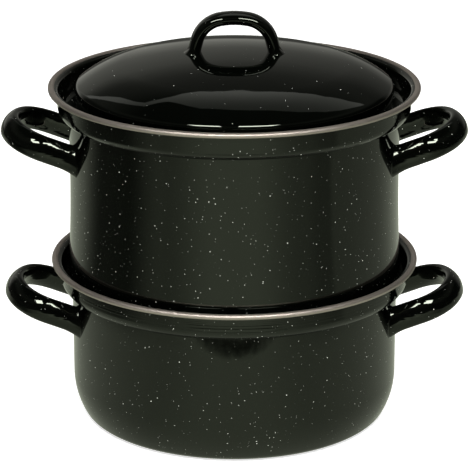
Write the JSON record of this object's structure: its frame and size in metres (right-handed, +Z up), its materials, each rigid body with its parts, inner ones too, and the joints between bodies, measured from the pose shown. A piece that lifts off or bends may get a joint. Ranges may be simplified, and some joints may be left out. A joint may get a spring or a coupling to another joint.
{
  "type": "potato steamer pot",
  "caption": "Stacked enamelled potato steamer: water pot, perforated steamer pot seated in its collar, domed lid with arch handle, and loop side handles.",
  "frame": {"origin": "middle of the flat base, where the water pot stands", "axes": "+Z up through the lid handle, +X through the right-hand side handles, +Y away from the front"},
  "size_m": [0.3354, 0.265, 0.2966],
  "materials": {
    "pot_enamel": "gloss",
    "lid_enamel": "gloss",
    "handle_enamel": "gloss",
    "rim_steel": "satin"
  },
  "bodies": {
    "root": {"lower_pot": "pot_enamel", "lower_rim_band": "rim_steel", "lower_handle_left": "handle_enamel", "lower_handle_right": "handle_enamel", "upper_pot": "pot_enamel", "upper_rim_band": "rim_steel", "upper_handle_left": "handle_enamel", "upper_handle_right": "handle_enamel", "lid": "lid_enamel", "lid_handle": "handle_enamel"}
  },
  "joints": []
}
